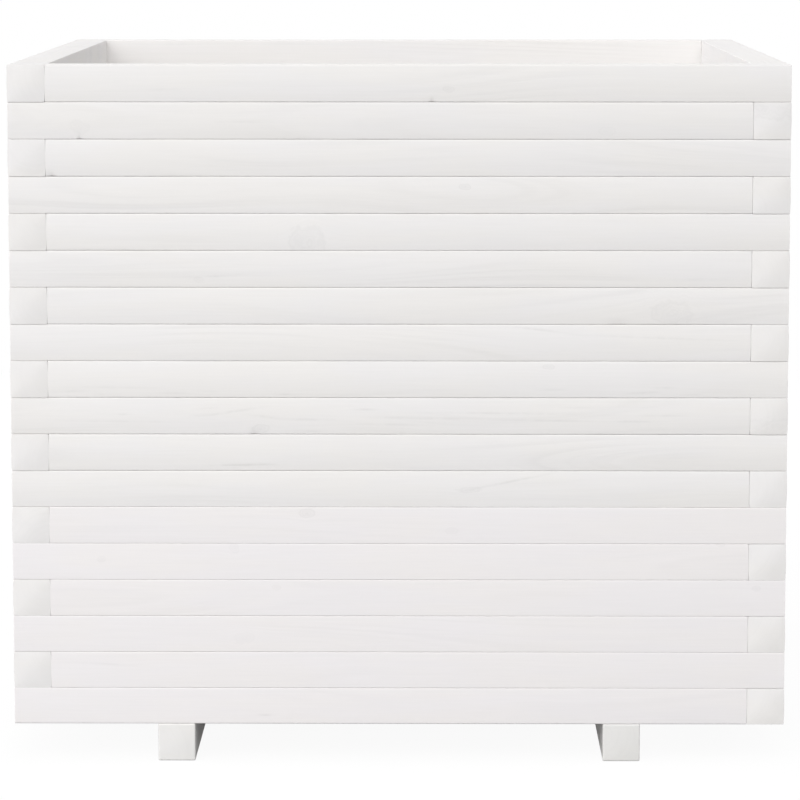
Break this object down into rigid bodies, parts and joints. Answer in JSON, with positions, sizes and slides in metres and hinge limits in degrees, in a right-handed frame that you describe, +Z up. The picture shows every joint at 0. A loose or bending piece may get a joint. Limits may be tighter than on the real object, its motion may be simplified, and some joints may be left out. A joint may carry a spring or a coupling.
{
  "type": "wooden planter",
  "caption": "Square wooden floor planter: white-painted slats stacked in courses and lapped at the corners, with a slatted floor that drains, on foot runners.",
  "frame": {"origin": "on the ground, under the middle of the planter", "axes": "+Z up, +X to the right and +Y to the back, seen from the front"},
  "size_m": [0.9, 0.9, 0.8126],
  "materials": {
    "white_painted_pine": "matt white paint over planed pine, with the grain and knots showing faintly",
    "bare_beech": "bare turned wood",
    "zinc_plated_steel": "satin zinc plating"
  },
  "bodies": {
    "root": {"course_01_front_back_slats": "white_painted_pine", "course_01_side_slats": "white_painted_pine", "course_02_front_back_slats": "white_painted_pine", "course_02_side_slats": "white_painted_pine", "course_03_front_back_slats": "white_painted_pine", "course_03_side_slats": "white_painted_pine", "course_04_front_back_slats": "white_painted_pine", "course_04_side_slats": "white_painted_pine", "course_05_front_back_slats": "white_painted_pine", "course_05_side_slats": "white_painted_pine", "course_06_front_back_slats": "white_painted_pine", "course_06_side_slats": "white_painted_pine", "course_07_front_back_slats": "white_painted_pine", "course_07_side_slats": "white_painted_pine", "course_08_front_back_slats": "white_painted_pine", "course_08_side_slats": "white_painted_pine", "course_09_front_back_slats": "white_painted_pine", "course_09_side_slats": "white_painted_pine", "course_10_front_back_slats": "white_painted_pine", "course_10_side_slats": "white_painted_pine", "course_11_front_back_slats": "white_painted_pine", "course_11_side_slats": "white_painted_pine", "course_12_front_back_slats": "white_painted_pine", "course_12_side_slats": "white_painted_pine", "course_13_front_back_slats": "white_painted_pine", "course_13_side_slats": "white_painted_pine", "course_14_front_back_slats": "white_painted_pine", "course_14_side_slats": "white_painted_pine", "course_15_front_back_slats": "white_painted_pine", "course_15_side_slats": "white_painted_pine", "course_16_front_back_slats": "white_painted_pine", "course_16_side_slats": "white_painted_pine", "course_17_front_back_slats": "white_painted_pine", "course_17_side_slats": "white_painted_pine", "course_18_front_back_slats": "white_painted_pine", "course_18_side_slats": "white_painted_pine", "left_foot": "white_painted_pine", "right_foot": "white_painted_pine", "floor_board_1": "white_painted_pine", "floor_board_2": "white_painted_pine", "floor_board_3": "white_painted_pine", "floor_board_4": "white_painted_pine", "floor_board_5": "white_painted_pine", "floor_board_6": "white_painted_pine", "floor_board_7": "white_painted_pine", "floor_board_8": "white_painted_pine", "front_wall_dowels": "bare_beech", "right_wall_dowels": "bare_beech", "back_wall_dowels": "bare_beech", "left_wall_dowels": "bare_beech", "tie_rod_front_left": "zinc_plated_steel", "tie_rod_front_right": "zinc_plated_steel", "tie_rod_back_right": "zinc_plated_steel", "tie_rod_back_left": "zinc_plated_steel", "tie_rod_inserts": "zinc_plated_steel", "tie_rod_washers": "zinc_plated_steel", "tie_rod_nuts": "zinc_plated_steel", "foot_screws": "zinc_plated_steel", "floor_board_screws": "zinc_plated_steel"}
  },
  "joints": []
}
